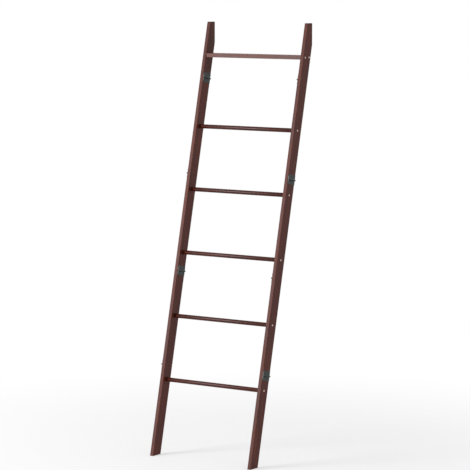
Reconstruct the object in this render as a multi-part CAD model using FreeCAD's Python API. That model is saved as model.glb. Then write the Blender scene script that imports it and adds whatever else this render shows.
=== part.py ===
import FreeCAD, Part
import math
import os

os.makedirs("parts", exist_ok=True)

# Leaning blanket ladder, in millimetres.
# Frame: +Z up, X across the ladder, +Y towards the wall. The floor is Z = 0, the middle of the
# width is X = 0, and Y = 0 lies midway between the front of the feet and the wall.
# Places along a rail are measured up its slope from the front corner of the foot ("station"),
# and depths are measured square to the rail's front face.

# --- driving dimensions -----------------------------------------------------------------------
WIDTH = 505.0               # over the outer faces of the rails
LEAN_DEG = 13.2             # lean of the rails from upright
RAIL_T = 15.5               # thickness of a rail, across the ladder
RAIL_D = 53.0               # depth of a rail, square to its front face
RAIL_EDGE_R = 1.0           # easing of a rail's long edges
SEAM_GAP = 0.3              # gap between two lengths of one rail
WALL_FACE_H = 91.0          # height of the upright flat on the back of each rail top

RUNG_COUNT = 5
RUNG_DIA = 18.0
RUNG_FIRST = 325.5          # station of the lowest rung
RUNG_STEP = 269.6           # from rung to rung, along the rail
RUNG_SEAT = 3.0             # depth of the round seat for a rung end
RUNG_PLAY = 0.1             # rung to seat, round the side and at the end
RUNG_CHAMFER = 0.6          # on the rung's end edges

SHELF_ABOVE_RUNG = 290.244  # height of the shelf's underside above the top rung's centre
SHELF_T = 17.0
SHELF_DEPTH = 54.0
SHELF_SETBACK = 0.3         # top front edge of the shelf behind the rails' front faces
SHELF_EDGE_R = 1.0
SHELF_END_GAP = 0.1         # shelf end to rail
TOP_ABOVE_SHELF = 132.0     # rail tops above the shelf's top face

# How far up the rail each hinge's pin is: hinges 1, 2 and 3 from the 1st, 2nd and 4th rung, and
# hinge 4 from the top rung.
HINGE_ABOVE_1 = 61.5
HINGE_ABOVE_2 = 191.4
HINGE_ABOVE_3 = 65.2
HINGE_ABOVE_4 = 209.1
HINGE_INSET = 1.5           # hinge end to the rail's front or back face
LEAF_W = 20.0               # from the pin's axis to the leaf's free edge
LEAF_T = 1.4
LEAF_LIFT = 0.05            # leaf to the wood
LEAF_CORNER_R = 1.5
PIN_DIA = 3.0
PIN_PLAY = 0.05             # pin to knuckle bore, on the radius
PIN_HEAD_DIA = 4.6
PIN_HEAD_T = 0.5
KNUCKLES = 5
KNUCKLE_GAP = 0.3           # between two knuckles, and knuckle to the other leaf
KNUCKLE_LIFT = 0.1          # knuckle's underside above the leaf's underside

HINGE_SCREW_DIA = 3.0
HINGE_SCREW_HEAD = 6.0
HINGE_SCREW_COVER = 4.9     # wood left beyond a hinge screw's tip
HINGE_SCREW_OUT = 12.0      # pin axis to screw
HINGE_SCREW_SPAN = 30.0     # between the two screws of a leaf

SCREW_DIA = 4.0             # rung and shelf screws
SCREW_HEAD = 8.0
SCREW_SINK = 0.2            # head below the rail's outer face
SCREW_PLAY = 0.05           # screw to its hole, on the radius
RUNG_BITE = 27.5            # length of screw inside a rung
SHELF_BITE = 24.5           # length of screw inside the shelf
SHELF_SCREW_SPAN = 29.0     # between the two screws of a shelf end
RECESS_SPAN = 0.56          # cross recess over head diameter
RECESS_SLOT = 0.15          # width of its arms over head diameter
RECESS_DEPTH = 0.22         # its depth over head diameter
SCREW_TIP = 1.5             # length of the pointed tip over shank diameter

# Allowances of the tools and the stock. No finished size depends on them.
STOCK_OVER = 60.0           # rail stock past its trimmed ends
RUN_OUT = 1.0               # a cutting tool past the face that it cuts
WEB_LAP = 1.0               # a knuckle's web into its plate
TOL = 1e-4                  # for picking edges

# --- derived values ---------------------------------------------------------------------------
LEAN = math.radians(LEAN_DEG)
SIN, COS, TAN = math.sin(LEAN), math.cos(LEAN), math.tan(LEAN)
V = FreeCAD.Vector
X_AXIS, Y_AXIS, Z_AXIS = V(1, 0, 0), V(0, 1, 0), V(0, 0, 1)
INNER_W = WIDTH - 2.0 * RAIL_T
MID_D = RAIL_D / 2.0

rung_stations = [RUNG_FIRST + RUNG_STEP * i for i in range(RUNG_COUNT)]
top_rung_z = rung_stations[-1] * COS - MID_D * SIN
SHELF_BOTTOM_Z = top_rung_z + SHELF_ABOVE_RUNG
SHELF_TOP_Z = SHELF_BOTTOM_Z + SHELF_T
HEIGHT = SHELF_TOP_Z + TOP_ABOVE_SHELF
WALL_Y = (HEIGHT - WALL_FACE_H) * TAN + RAIL_D / COS
Y_ORIGIN = WALL_Y / 2.0
SHELF_FRONT_Y = SHELF_TOP_Z * TAN + SHELF_SETBACK

hinge_stations = [
    rung_stations[0] + HINGE_ABOVE_1,
    rung_stations[1] + HINGE_ABOVE_2,
    rung_stations[3] + HINGE_ABOVE_3,
    rung_stations[-1] + HINGE_ABOVE_4,
]
HINGE_LEN = RAIL_D - 2.0 * HINGE_INSET
LEAF_TOP = LEAF_LIFT + LEAF_T                     # a leaf's outer side off the rail's face
BORE_R = PIN_DIA / 2.0 + PIN_PLAY
KNUCKLE_R = BORE_R + LEAF_T
KNUCKLE_L = (HINGE_LEN - (KNUCKLES - 1) * KNUCKLE_GAP) / KNUCKLES
PIN_N = LEAF_LIFT + KNUCKLE_LIFT + KNUCKLE_R      # pin axis off the rail's face
PAST_ALL = HEIGHT + WALL_Y + WIDTH                # further than any point of the ladder

RIGHT, LEFT = 1, -1
SIDES = {"right": RIGHT, "left": LEFT}


def box(x0, x1, y0, y1, z0, z1):
    return Part.makeBox(x1 - x0, y1 - y0, z1 - z0, V(x0, y0, z0))


def leaned(shape):
    """From the rail's own frame (X, depth, station) to the ladder's frame."""
    out = shape.copy()
    out.rotate(V(0, 0, 0), X_AXIS, -LEAN_DEG)
    out.translate(V(0, -Y_ORIGIN, 0))
    return out


def runs_along(edge, direction):
    return abs(abs(edge.tangentAt(edge.FirstParameter).dot(direction)) - 1.0) < TOL


def eased_bar(shape, direction, radius):
    """Rounds the four long edges that run along the direction."""
    return shape.makeFillet(radius, [e for e in shape.Edges if runs_along(e, direction)])


# --- countersunk screws -----------------------------------------------------------------------
# A screw lies along -Z in its own frame, with the top of its head at Z = 0.
def screw(length, shank_d, head_d):
    r, head_r = shank_d / 2.0, head_d / 2.0
    head_h = head_r - r
    tip_h = SCREW_TIP * shank_d
    profile = Part.makePolygon([
        V(0, 0, 0),
        V(head_r, 0, 0),
        V(r, 0, -head_h),
        V(r, 0, tip_h - length),
        V(0, 0, -length),
        V(0, 0, 0),
    ])
    body = Part.Face(profile).revolve(V(0, 0, 0), Z_AXIS, 360)
    arm, slot, deep = head_d * RECESS_SPAN / 2, head_d * RECESS_SLOT / 2, head_d * RECESS_DEPTH
    return body.cut([
        box(-arm, arm, -slot, slot, -deep, RUN_OUT),
        box(-slot, slot, -arm, arm, -deep, RUN_OUT),
    ])


def screw_hole(length, shank_d, head_d, above):
    """The hole for such a screw, with its clearance, open above the head."""
    r, head_r = shank_d / 2.0 + SCREW_PLAY, head_d / 2.0 + SCREW_PLAY
    profile = Part.makePolygon([
        V(0, 0, above),
        V(head_r, 0, above),
        V(head_r, 0, 0),
        V(r, 0, r - head_r),
        V(r, 0, -length - SCREW_PLAY),
        V(0, 0, -length - SCREW_PLAY),
        V(0, 0, above),
    ])
    return Part.Face(profile).revolve(V(0, 0, 0), Z_AXIS, 360)


def along_x(shape, sign, x, y, z):
    """Turns a screw so that its head faces sign * X, and puts the head's top at the point."""
    out = shape.copy()
    out.rotate(V(0, 0, 0), Y_AXIS, 90.0 * sign)
    out.translate(V(x, y, z))
    return out


RUNG_SCREW_L = RAIL_T - SCREW_SINK - RUNG_SEAT + RUNG_BITE
SHELF_SCREW_L = RAIL_T - SCREW_SINK + SHELF_BITE
HINGE_SCREW_L = LEAF_TOP + RAIL_T - HINGE_SCREW_COVER
rung_screw = screw(RUNG_SCREW_L, SCREW_DIA, SCREW_HEAD)
rung_screw_hole = screw_hole(RUNG_SCREW_L, SCREW_DIA, SCREW_HEAD, SCREW_SINK + RUN_OUT)
shelf_screw = screw(SHELF_SCREW_L, SCREW_DIA, SCREW_HEAD)
shelf_screw_hole = screw_hole(SHELF_SCREW_L, SCREW_DIA, SCREW_HEAD, SCREW_SINK + RUN_OUT)
hinge_screw = screw(HINGE_SCREW_L, HINGE_SCREW_DIA, HINGE_SCREW_HEAD)
hinge_screw_hole = screw_hole(HINGE_SCREW_L, HINGE_SCREW_DIA, HINGE_SCREW_HEAD, RUN_OUT)

shelf_mid_z = (SHELF_BOTTOM_Z + SHELF_TOP_Z) / 2.0
shelf_mid_y = SHELF_FRONT_Y + SHELF_DEPTH / 2.0 - Y_ORIGIN
shelf_screw_ys = [shelf_mid_y - SHELF_SCREW_SPAN / 2.0, shelf_mid_y + SHELF_SCREW_SPAN / 2.0]
screw_x = WIDTH / 2.0 - SCREW_SINK


# --- hinges -----------------------------------------------------------------------------------
# A hinge is built on the face X = 0 with its normal along +X: Y is the depth across the rail and
# Z runs up the rail from the seam. The other side of a rail gets it turned half round.
def knuckle_span(i):
    start = HINGE_INSET + i * (KNUCKLE_L + KNUCKLE_GAP)
    return start, start + KNUCKLE_L


def hinge_leaf(up, own):
    """One leaf: up is +1 or -1, own lists the knuckles rolled from this leaf."""
    z0, z1 = KNUCKLE_R + KNUCKLE_GAP, LEAF_W
    plate = box(LEAF_LIFT, LEAF_TOP, HINGE_INSET, HINGE_INSET + HINGE_LEN, z0, z1)
    corners = [e for e in plate.Edges if abs(e.BoundBox.ZMin - z1) < TOL and runs_along(e, X_AXIS)]
    plate = plate.makeFillet(LEAF_CORNER_R, corners)
    rolled = []
    for i in own:
        y0, y1 = knuckle_span(i)
        rolled.append(box(LEAF_LIFT, LEAF_TOP, y0, y1, 0.0, z0 + WEB_LAP))
        rolled.append(Part.makeCylinder(KNUCKLE_R, y1 - y0, V(PIN_N, y0, 0), Y_AXIS))
    leaf = plate.fuse(rolled).removeSplitter()
    bore = Part.makeCylinder(BORE_R, RAIL_D, V(PIN_N, 0, 0), Y_AXIS)
    holes = [along_x(hinge_screw_hole, 1, LEAF_TOP, y, HINGE_SCREW_OUT) for y in hinge_screw_ys]
    leaf = leaf.cut([bore] + holes)
    if up < 0:
        leaf = leaf.mirror(V(0, 0, 0), Z_AXIS)
    return leaf


hinge_screw_ys = [MID_D - HINGE_SCREW_SPAN / 2.0, MID_D + HINGE_SCREW_SPAN / 2.0]
upper_leaf = hinge_leaf(1, range(1, KNUCKLES, 2))
lower_leaf = hinge_leaf(-1, range(0, KNUCKLES, 2))

pin_y0 = HINGE_INSET - PIN_PLAY
pin_y1 = RAIL_D - HINGE_INSET + PIN_PLAY
hinge_pin = Part.makeCylinder(PIN_DIA / 2.0, pin_y1 - pin_y0, V(PIN_N, pin_y0, 0), Y_AXIS)
hinge_pin = hinge_pin.fuse([
    Part.makeCone(PIN_DIA / 2.0, PIN_HEAD_DIA / 2.0, PIN_HEAD_T, V(PIN_N, pin_y0 - PIN_HEAD_T, 0), Y_AXIS),
    Part.makeCone(PIN_HEAD_DIA / 2.0, PIN_DIA / 2.0, PIN_HEAD_T, V(PIN_N, pin_y1, 0), Y_AXIS),
]).removeSplitter()


def on_face(shape, face_x, normal, station):
    """Puts a hinge piece on a rail's face, in the rail's own frame."""
    out = shape.copy()
    if normal < 0:
        out.rotate(V(0, MID_D, 0), Z_AXIS, 180.0)
    out.translate(V(face_x, 0, station))
    return out


def hinge_face(side, number):
    """Hinges 1 and 3 lie on the outer face, 2 and 4 on the inner face."""
    if number % 2 == 1:
        return side * WIDTH / 2.0, side
    return side * INNER_W / 2.0, -side


# --- rails ------------------------------------------------------------------------------------
def rail_length(side, number):
    """One of the lengths of a rail, numbered up from the floor, in the ladder's frame."""
    ends = [-STOCK_OVER] + hinge_stations + [(HEIGHT + STOCK_OVER) / COS]
    low = ends[number - 1] + (SEAM_GAP / 2.0 if number > 1 else 0.0)
    high = ends[number] - (SEAM_GAP / 2.0 if number < len(ends) - 1 else 0.0)
    inner_x, outer_x = side * INNER_W / 2.0, side * WIDTH / 2.0
    bar = box(min(inner_x, outer_x), max(inner_x, outer_x), 0.0, RAIL_D, low, high)
    bar = eased_bar(bar, Z_AXIS, RAIL_EDGE_R)
    cuts = []
    for station in rung_stations:
        if low < station < high:
            seat_r = RUNG_DIA / 2.0 + RUNG_PLAY
            start = V(inner_x - side * RUN_OUT, MID_D, station)
            cuts.append(Part.makeCylinder(seat_r, RUNG_SEAT + RUN_OUT, start, X_AXIS * side))
            cuts.append(along_x(rung_screw_hole, side, side * screw_x, MID_D, station))
    for i, station in enumerate(hinge_stations):
        face_x, normal = hinge_face(side, i + 1)
        for up in (1, -1):
            z = station + up * HINGE_SCREW_OUT
            if low < z < high:
                for y in hinge_screw_ys:
                    cuts.append(along_x(hinge_screw_hole, normal, face_x + normal * LEAF_TOP, y, z))
    bar = leaned(bar.cut(cuts))
    far = PAST_ALL
    trims = []
    if number == 1:
        trims.append(box(-far, far, -far, far, -far, 0.0))
    if number == len(ends) - 1:
        trims.append(box(-far, far, -far, far, HEIGHT, far))
        trims.append(box(-far, far, WALL_Y - Y_ORIGIN, far, -far, far))
        for y in shelf_screw_ys:
            trims.append(along_x(shelf_screw_hole, side, side * screw_x, y, shelf_mid_z))
    return bar.cut(trims) if trims else bar


# --- rungs and shelf --------------------------------------------------------------------------
def rung(station):
    half = INNER_W / 2.0 + RUNG_SEAT - RUNG_PLAY
    dowel = Part.makeCylinder(RUNG_DIA / 2.0, 2.0 * half, V(-half, MID_D, station), X_AXIS)
    ends = [e for e in dowel.Edges if len(e.Vertexes) == 1 and e.BoundBox.XLength < TOL]
    dowel = dowel.makeChamfer(RUNG_CHAMFER, ends)
    holes = [along_x(rung_screw_hole, s, s * screw_x, MID_D, station) for s in (RIGHT, LEFT)]
    return leaned(dowel.cut(holes))


def shelf():
    half = INNER_W / 2.0 - SHELF_END_GAP
    y0 = SHELF_FRONT_Y - Y_ORIGIN
    board = box(-half, half, y0, y0 + SHELF_DEPTH, SHELF_BOTTOM_Z, SHELF_TOP_Z)
    board = eased_bar(board, X_AXIS, SHELF_EDGE_R)
    holes = []
    for side in (RIGHT, LEFT):
        for y in shelf_screw_ys:
            holes.append(along_x(shelf_screw_hole, side, side * screw_x, y, shelf_mid_z))
    return board.cut(holes)


# --- the ladder -------------------------------------------------------------------------------
nodes = {}
RAIL_LENGTHS = len(hinge_stations) + 1
for side_name, side in SIDES.items():
    for number in range(1, RAIL_LENGTHS + 1):
        nodes[f"{side_name}_rail_length_{number}"] = [rail_length(side, number)]

for i, station in enumerate(rung_stations):
    nodes[f"rung_{i + 1}"] = [rung(station)]
nodes["shelf_board"] = [shelf()]

hinge_screws = []
for side_name, side in SIDES.items():
    for i, station in enumerate(hinge_stations):
        face_x, normal = hinge_face(side, i + 1)
        name = f"{side_name}_hinge_{i + 1}"
        nodes[name + "_upper_leaf"] = [leaned(on_face(upper_leaf, face_x, normal, station))]
        nodes[name + "_lower_leaf"] = [leaned(on_face(lower_leaf, face_x, normal, station))]
        nodes[name + "_pin"] = [leaned(on_face(hinge_pin, face_x, normal, station))]
        for up in (1, -1):
            for y in hinge_screw_ys:
                head_x = face_x + normal * LEAF_TOP
                z = station + up * HINGE_SCREW_OUT
                hinge_screws.append(leaned(along_x(hinge_screw, normal, head_x, y, z)))
nodes["hinge_screws"] = hinge_screws

nodes["rung_screws"] = [
    leaned(along_x(rung_screw, side, side * screw_x, MID_D, station))
    for station in rung_stations
    for side in (RIGHT, LEFT)
]
nodes["shelf_screws"] = [
    along_x(shelf_screw, side, side * screw_x, y, shelf_mid_z)
    for side in (RIGHT, LEFT)
    for y in shelf_screw_ys
]

low, high = [math.inf] * 3, [-math.inf] * 3
for name, pieces in nodes.items():
    solids = [s for piece in pieces for s in piece.Solids]
    shape = solids[0] if len(solids) == 1 else Part.makeCompound(solids)
    shape.exportStep(f"parts/{name}.step")
    b = shape.optimalBoundingBox(False)
    low = [min(a, c) for a, c in zip(low, (b.XMin, b.YMin, b.ZMin))]
    high = [max(a, c) for a, c in zip(high, (b.XMax, b.YMax, b.ZMax))]
    state = "valid" if all(s.isValid() for s in solids) else "NOT VALID"
    print(f"{name}: {len(solids)} of {len(pieces)}, {sum(s.Volume for s in solids):.1f} mm3, {state}")
print("height", round(HEIGHT, 2), "wall at Y", round(WALL_Y - Y_ORIGIN, 3), "rungs", rung_stations)
print("hinges", hinge_stations, "shelf", round(SHELF_BOTTOM_Z, 2), round(SHELF_TOP_Z, 2))
print("box", [round(v, 3) for v in low], [round(v, 3) for v in high])
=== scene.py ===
# %% [markdown]
# # A leaning blanket ladder
# Two flat rails, five round rungs and a narrow shelf board, all stained a dark red-brown. Each rail
# is five lengths of wood, held end to end by small dark hinges. The engineering model already has
# every piece at its real size, so this script loads it and works on the looks. The rails and the
# shelf keep their shapes and get stain, grain and worn edges. The turned and pressed pieces (rungs,
# screws and hinges) are made again with Geometry Nodes, because they repeat and follow rules.

# %% Load the engineering model
import math

import bpy
from mathutils import Matrix, Vector


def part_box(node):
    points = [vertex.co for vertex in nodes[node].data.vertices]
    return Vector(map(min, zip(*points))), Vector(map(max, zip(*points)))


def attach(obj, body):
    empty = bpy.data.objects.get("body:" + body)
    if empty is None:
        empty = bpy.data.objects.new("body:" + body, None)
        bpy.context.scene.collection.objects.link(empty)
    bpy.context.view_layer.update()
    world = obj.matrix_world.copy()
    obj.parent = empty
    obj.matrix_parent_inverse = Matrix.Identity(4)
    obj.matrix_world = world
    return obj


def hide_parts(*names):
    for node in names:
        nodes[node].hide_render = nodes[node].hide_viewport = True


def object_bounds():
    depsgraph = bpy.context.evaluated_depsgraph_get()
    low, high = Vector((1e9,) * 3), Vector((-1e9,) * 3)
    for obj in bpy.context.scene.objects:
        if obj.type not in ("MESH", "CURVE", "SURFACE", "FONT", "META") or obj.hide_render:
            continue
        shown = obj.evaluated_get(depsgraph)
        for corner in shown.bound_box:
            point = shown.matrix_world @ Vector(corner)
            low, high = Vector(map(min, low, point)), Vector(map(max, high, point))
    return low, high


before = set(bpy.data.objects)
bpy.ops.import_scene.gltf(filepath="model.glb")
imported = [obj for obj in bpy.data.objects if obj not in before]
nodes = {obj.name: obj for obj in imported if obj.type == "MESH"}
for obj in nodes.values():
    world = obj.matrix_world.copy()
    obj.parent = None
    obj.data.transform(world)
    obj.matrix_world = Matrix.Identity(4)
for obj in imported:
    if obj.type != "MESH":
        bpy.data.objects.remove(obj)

cad_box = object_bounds()
FRONT_OF_FEET = cad_box[0].y
print("pieces in the model:", len(nodes), "height", round(cad_box[1].z, 4))

# %% [markdown]
# ## Sizes and the leaning frame
# Everything is in metres. A place on a rail is given as on a workbench, with the rail upright: X
# across the ladder, Y in from the rail's front face, and Z up the rail from the foot, called the
# station. One matrix leans that bench frame against the wall. Hinges and screws are then placed
# by easy upright numbers, and the matrix does the trigonometry once for all of them.

# %% Sizes
MM = 0.001
WIDTH, RAIL_T, RAIL_D = 505 * MM, 15.5 * MM, 53 * MM
OUTER, INNER = WIDTH / 2, WIDTH / 2 - RAIL_T
HINGE_STATIONS = (387 * MM, 786.5 * MM, 1199.5 * MM, 1613 * MM)
SIDES = {"right": 1, "left": -1}

LEAN = math.radians(13.2)
leaned = Matrix.Translation((0, FRONT_OF_FEET, 0)) @ Matrix.Rotation(-LEAN, 4, "X")
print("the top seam lies at", [round(v, 4) for v in leaned @ Vector((0, 0, HINGE_STATIONS[-1]))])

# %% [markdown]
# ## Short calls for node trees
# A node tree written call by call is long and hard to read. `add` makes one node and fills its
# inputs, and an input whose value is another node's output gets a link instead. `calc` does the
# same for one sum. With these a material reads almost like a formula.

# %% Helpers for any node tree
def fill(tree, socket, value):
    if isinstance(value, bpy.types.NodeSocket):
        tree.links.new(value, socket)
    else:
        socket.default_value = value


def add(tree, kind, inputs=None, **settings):
    node = tree.nodes.new(kind)
    for key, value in settings.items():
        setattr(node, key, value)
    for key, value in (inputs or {}).items():
        fill(tree, node.inputs[key], value)
    return node


def calc(tree, operation, *values):
    return add(tree, "ShaderNodeMath", dict(enumerate(values)), operation=operation).outputs[0]


def vector_of(tree, x=0.0, y=0.0, z=0.0):
    return add(tree, "ShaderNodeCombineXYZ", {"X": x, "Y": y, "Z": z}).outputs[0]


def split(tree, vector):
    return add(tree, "ShaderNodeSeparateXYZ", {0: vector}).outputs


# %% [markdown]
# More calls serve the materials. `apart` is the distance between two numbers, and `reach` is the
# length of a vector. `fade` is a soft step, for masks whose edge should not be hard. `tint` lays
# one colour over another by a mask. `mix_of` adds up layers, each times its own share.

# %% Helpers for masks and colours
def apart(tree, first, second):
    return calc(tree, "ABSOLUTE", calc(tree, "SUBTRACT", first, second))


def reach(tree, vector):
    return add(tree, "ShaderNodeVectorMath", {0: vector}, operation="LENGTH").outputs["Value"]


def fade(tree, value, low, high, from_value=0.0, to_value=1.0):
    numbers = {"Value": value, "From Min": low, "From Max": high, "To Min": from_value, "To Max": to_value}
    return add(tree, "ShaderNodeMapRange", numbers, interpolation_type="SMOOTHSTEP").outputs["Result"]


def tint(tree, mask, under, over):
    return add(tree, "ShaderNodeMix", {0: mask, 6: under, 7: over}, data_type="RGBA").outputs[2]


def mix_of(tree, layers, shares, start=0.0):
    total = start
    for layer, share in shares:
        total = calc(tree, "MULTIPLY_ADD", layers[layer], share, total)
    return total


# %% [markdown]
# The last three are for whole materials. `cloudy` is one soft random pattern. `new_material` makes
# a material with its main shader, and `fill_shader` gives that shader its colour, its roughness
# and a bump.

# %% Helpers for whole materials
def cloudy(tree, place, scale, detail):
    inputs = {"Vector": place, "Scale": scale, "Detail": detail}
    return add(tree, "ShaderNodeTexNoise", inputs).outputs["Fac"]


def new_material(name):
    material = bpy.data.materials.new(name)
    material.use_nodes = True
    return material, material.node_tree, material.node_tree.nodes["Principled BSDF"]


def fill_shader(tree, shader, colour, rough, height, strength, distance):
    relief = {"Height": height, "Strength": strength, "Distance": distance}
    fill(tree, shader.inputs["Base Color"], colour)
    fill(tree, shader.inputs["Roughness"], rough)
    fill(tree, shader.inputs["Normal"], add(tree, "ShaderNodeBump", relief).outputs[0])


# %% [markdown]
# ## Where a point lies on its stick
# The ladder is a close-grained timber under a dark red-brown stain and a satin lacquer. The grain
# has to run along each stick. A UV map could carry it, but it would have to be laid out anew for
# every piece. Here the pattern is worked out from each point's place instead, in the stick's own
# frame, with Z along the grain. Three short functions find that frame, for the rails, the rungs
# and the shelf. Each also gives three more things:
# - the block, a whole number that differs from stick to stick. It moves the pattern, so that no
#   two sticks share their grain;
# - the distance to the nearest edge, for wear. On a rail's flat side or front one of the two
#   distances to the faces is nothing, so their sum is the way to the nearest long edge;
# - how far a face is end grain, which drinks more stain and turns darker. The last millimetres
#   below a rail's top are soaked from its cut end, and turn darker with it.

# %% The frame of a rail
RIGHT_RAIL_BLOCK = 7.0
END_FACING = (0.5, 0.9)
SOAK_DEPTH = 6 * MM


def rail_stick(tree):
    here = add(tree, "ShaderNodeTexCoord").outputs
    upright = leaned.inverted()
    turn = {"Rotation": upright.to_euler(), "Location": upright.translation}
    stick = add(tree, "ShaderNodeMapping", {"Vector": here["Object"], **turn}).outputs[0]
    x, depth, station = split(tree, stick)
    block = calc(tree, "MULTIPLY", calc(tree, "GREATER_THAN", x, 0.0), RIGHT_RAIL_BLOCK)
    across = apart(tree, calc(tree, "ABSOLUTE", x), OUTER - RAIL_T / 2)
    inwards = apart(tree, depth, RAIL_D / 2)
    edge = calc(tree, "SUBTRACT", (RAIL_T + RAIL_D) / 2, calc(tree, "ADD", across, inwards))
    for seam in HINGE_STATIONS:
        block = calc(tree, "ADD", block, calc(tree, "GREATER_THAN", station, seam))
        edge = calc(tree, "MINIMUM", edge, apart(tree, station, seam))
    facing = {"Vector": here["Normal"], "Rotation": upright.to_euler()}
    along = split(tree, add(tree, "ShaderNodeMapping", facing).outputs[0])[2]
    end_grain = fade(tree, calc(tree, "ABSOLUTE", along), *END_FACING)
    below_top = calc(tree, "SUBTRACT", cad_box[1].z, split(tree, here["Object"])[2])
    soaked = fade(tree, below_top, SOAK_DEPTH / 3, SOAK_DEPTH, 1.0, 0.0)
    return stick, block, edge, calc(tree, "MAXIMUM", end_grain, soaked)


# %% [markdown]
# The rungs lie in rows an even step apart, so a rounded division gives a point's row, and its place
# is measured from that row's middle. A dowel has no long edge to wear, and both its ends are hidden
# in the rails, so two of its answers are plain numbers. The shelf lies level, and only its middle is
# taken off.

# %% The frames of a rung and of the shelf
RUNG_COUNT = 5
RUNG_BOXES = [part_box(f"rung_{number}") for number in range(1, RUNG_COUNT + 1)]
RUNG_ROWS = [(low + high) / 2 for low, high in RUNG_BOXES]
ROW_STEP = RUNG_ROWS[1] - RUNG_ROWS[0]
FIRST_RUNG_BLOCK, RUNG_BLOCK_STEP = 43.0, 3.0
FAR_FROM_EDGES, NO_END_GRAIN = 1.0, 0.0
shelf_low, shelf_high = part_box("shelf_board")
SHELF_MID, SHELF_HALF = (shelf_low + shelf_high) / 2, (shelf_high - shelf_low) / 2
SHELF_BLOCK = 31.0


def rung_stick(tree):
    x, y, z = split(tree, add(tree, "ShaderNodeTexCoord").outputs["Object"])
    up = calc(tree, "SUBTRACT", z, RUNG_ROWS[0].z)
    back = calc(tree, "SUBTRACT", y, RUNG_ROWS[0].y)
    row = calc(tree, "ROUND", calc(tree, "DIVIDE", up, ROW_STEP.z))
    from_mid_z = calc(tree, "SUBTRACT", up, calc(tree, "MULTIPLY", row, ROW_STEP.z))
    from_mid_y = calc(tree, "SUBTRACT", back, calc(tree, "MULTIPLY", row, ROW_STEP.y))
    block = calc(tree, "MULTIPLY_ADD", row, RUNG_BLOCK_STEP, FIRST_RUNG_BLOCK)
    return vector_of(tree, from_mid_y, from_mid_z, x), block, FAR_FROM_EDGES, NO_END_GRAIN


def shelf_stick(tree):
    x, y, z = split(tree, add(tree, "ShaderNodeTexCoord").outputs["Object"])
    y = calc(tree, "SUBTRACT", y, SHELF_MID.y)
    z = calc(tree, "SUBTRACT", z, SHELF_MID.z)
    from_mid = calc(tree, "ADD", calc(tree, "ABSOLUTE", y), calc(tree, "ABSOLUTE", z))
    edge = calc(tree, "SUBTRACT", SHELF_HALF.y + SHELF_HALF.z, from_mid)
    return vector_of(tree, y, z, x), SHELF_BLOCK, edge, NO_END_GRAIN


print("rung rows at Z", [round(row.z, 4) for row in RUNG_ROWS])

# %% [markdown]
# ## Grain
# A flat picture of grain would smear where a stick is cut across. Here every layer is a solid
# pattern instead, so faces show streaks and cut ends show arcs, as in sawn wood. The layers go
# from broad to fine: growth rings round a pith that lies outside the stick, slow patches of
# stain, long streaks, fibres, and short open pores. `wander` bends the rings, and `rub` breaks up
# the wear. A layer is noise stretched along the stick. Its three numbers are how often it changes
# in a metre, across the grain and along it, and how much fine detail it has.

# %% The layers of grain
GRAIN_NOISE = {
    "wander": (11.0, 2.6, 1.0),
    "patch": (26.0, 9.0, 2.0),
    "streak": (95.0, 3.5, 2.0),
    "fibre": (900.0, 17.0, 3.0),
    "pore": (2100.0, 95.0, 1.0),
    "rub": (140.0, 34.0, 3.0),
}
BLOCK_SHIFT = (0.37, 0.53, 1.71)
PORE_EDGE = (0.60, 0.68)
PITH = (31 * MM, 47 * MM)
RING_WIDTH, RING_WANDER = 3.4 * MM, 22 * MM
RING_EDGE = (-0.9, 1.0)


def stretched_noise(tree, place, across, along, detail):
    stretch = {0: place, 1: (across, across, along)}
    stretched = add(tree, "ShaderNodeVectorMath", stretch, operation="MULTIPLY").outputs[0]
    return cloudy(tree, stretched, 1.0, detail)


def grain_layers(tree, stick, block):
    shift = vector_of(tree, *(calc(tree, "MULTIPLY", block, step) for step in BLOCK_SHIFT))
    place = add(tree, "ShaderNodeVectorMath", {0: stick, 1: shift}, operation="ADD").outputs[0]
    layers = {layer: stretched_noise(tree, place, *numbers) for layer, numbers in GRAIN_NOISE.items()}
    layers["pore"] = fade(tree, layers["pore"], *PORE_EDGE)
    x, y, _ = split(tree, stick)
    to_pith = vector_of(tree, calc(tree, "ADD", x, PITH[0]), calc(tree, "ADD", y, PITH[1]))
    radius = calc(tree, "MULTIPLY_ADD", layers["wander"], RING_WANDER, reach(tree, to_pith))
    wave = calc(tree, "SINE", calc(tree, "MULTIPLY", radius, math.tau / RING_WIDTH))
    layers["ring"] = fade(tree, wave, *RING_EDGE)
    return layers


# %% [markdown]
# ## Stain and lacquer
# The layers are mixed into one number, and a colour ramp turns it into stain, from nearly black
# to a warm red-brown. Pores take the most stain. Where edges are handled the stain thins and the
# pale timber shows, broken up by noise so that it doesn't look like a painted line. Each stick is
# a little lighter or darker than the next. The colours are dark, because the soft light adds its
# own sheen to them.

# %% The colours of the wood
STAIN = (
    (0.42, (0.044, 0.0080, 0.0047, 1)),
    (0.62, (0.083, 0.0165, 0.0098, 1)),
    (0.84, (0.124, 0.0270, 0.0158, 1)),
)
STAIN_SHARES = (("patch", 0.40), ("streak", 0.34), ("ring", 0.14), ("fibre", 0.36))
PORE_COLOUR, PORE_COVER = (0.020, 0.006, 0.004, 1), 0.55
PALE_TIMBER, WEAR_COVER = (0.230, 0.098, 0.066, 1), 0.5
WEAR_WIDTH = (0.3 * MM, 2.0 * MM)
RUB_EDGE = (0.44, 0.66)
TONE_SPREAD, END_GRAIN_DARKER = 0.14, 0.35


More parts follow.
